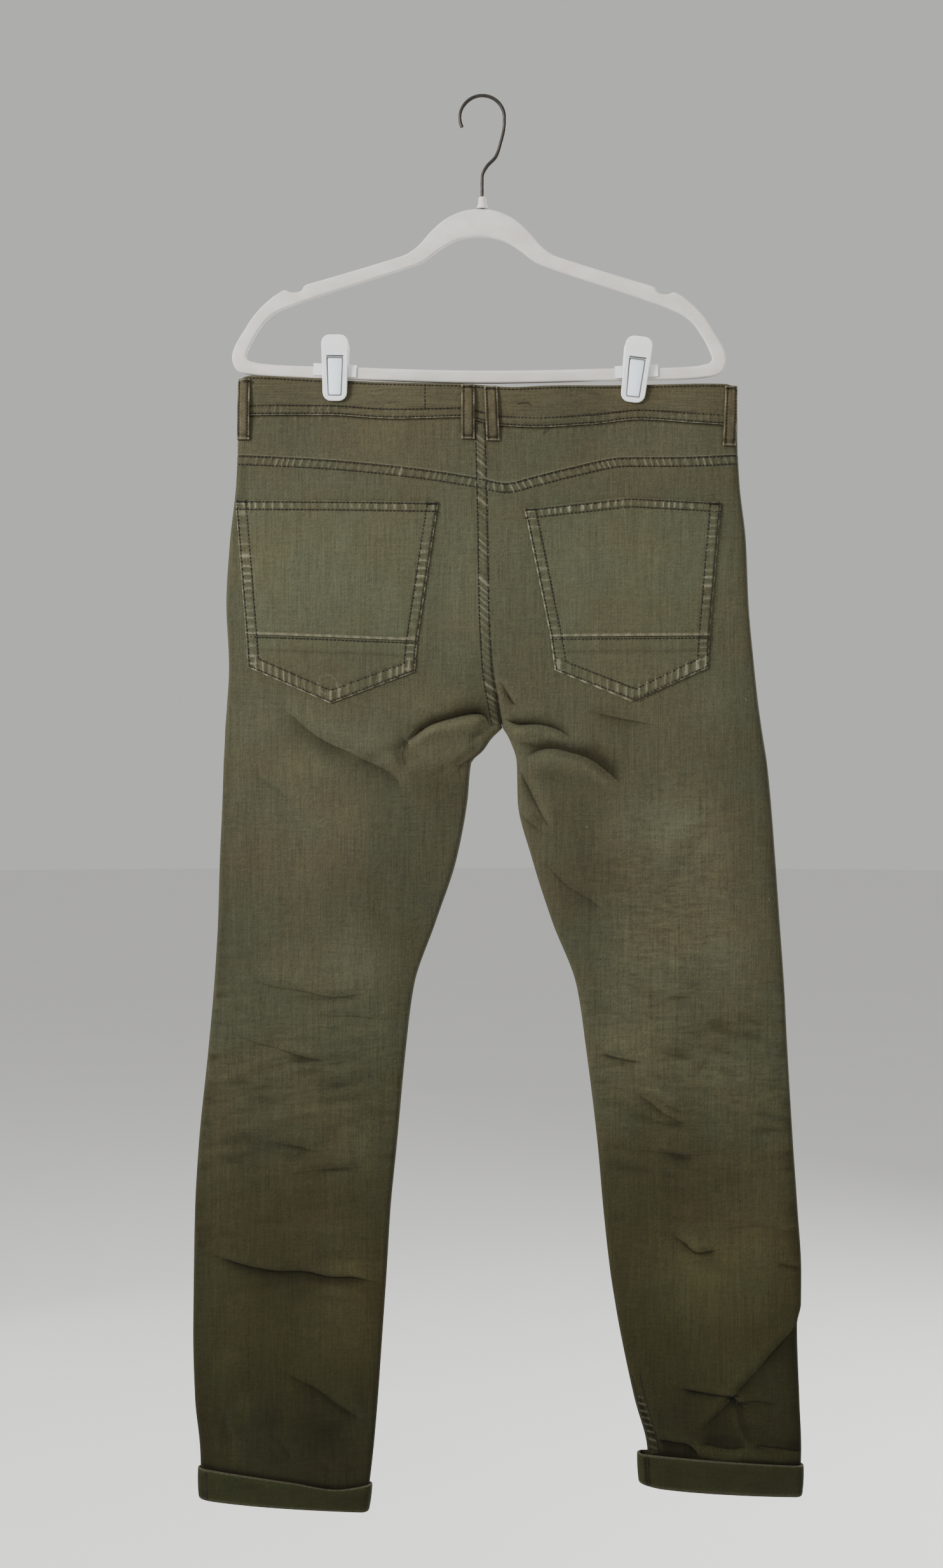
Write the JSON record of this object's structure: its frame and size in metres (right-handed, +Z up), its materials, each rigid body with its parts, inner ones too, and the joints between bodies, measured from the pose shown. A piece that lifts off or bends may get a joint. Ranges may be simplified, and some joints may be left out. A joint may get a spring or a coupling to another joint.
{
  "type": "skinny jeans on a clip hanger",
  "caption": "Close-fitting denim trousers with turned-up hems, a back yoke and patch pockets, hung flat by finger clips from a flocked suit hanger with a wire hook.",
  "frame": {"origin": "inner crown of the hanger's hook, where a rail or a peg carries it", "axes": "+Z up, -Y towards the viewer of the garment's back, +X to that viewer's right"},
  "size_m": [0.5486, 0.0388, 1.2727],
  "materials": {
    "denim": "worn olive stretch twill denim, matt",
    "denim_reverse": "reverse side of the same denim, darker and smoother",
    "button_metal": "aged plain metal",
    "flock": "pale grey-beige flocked velvet over plastic",
    "clip_plastic": "satin pale grey moulded plastic",
    "hook_wire": "dark antiqued steel wire"
  },
  "bodies": {
    "root": {"back_leg_left": "denim", "back_leg_right": "denim", "front_leg_left": "denim", "front_leg_right": "denim", "yoke_left": "denim", "yoke_right": "denim", "waistband": "denim", "back_pocket_left_upper": "denim", "back_pocket_left_lower": "denim", "back_pocket_right_upper": "denim", "back_pocket_right_lower": "denim", "belt_loop_left_side": "denim", "belt_loop_back_left": "denim", "belt_loop_back_right": "denim", "belt_loop_right_side": "denim", "belt_loop_front_left": "denim", "belt_loop_front_right": "denim", "front_pocket_facing_left": "denim", "front_pocket_facing_right": "denim", "fly": "denim", "turn_up_left": "denim_reverse", "turn_up_right": "denim_reverse", "waist_button": "button_metal", "hanger_frame": "flock", "hanger_hook": "hook_wire", "hook_collar": "hook_wire", "clip_left_back_jaw": "clip_plastic", "clip_left_front_jaw": "clip_plastic", "clip_left_saddle": "clip_plastic", "clip_left_spring": "hook_wire", "clip_right_back_jaw": "clip_plastic", "clip_right_front_jaw": "clip_plastic", "clip_right_saddle": "clip_plastic", "clip_right_spring": "hook_wire"}
  },
  "joints": []
}
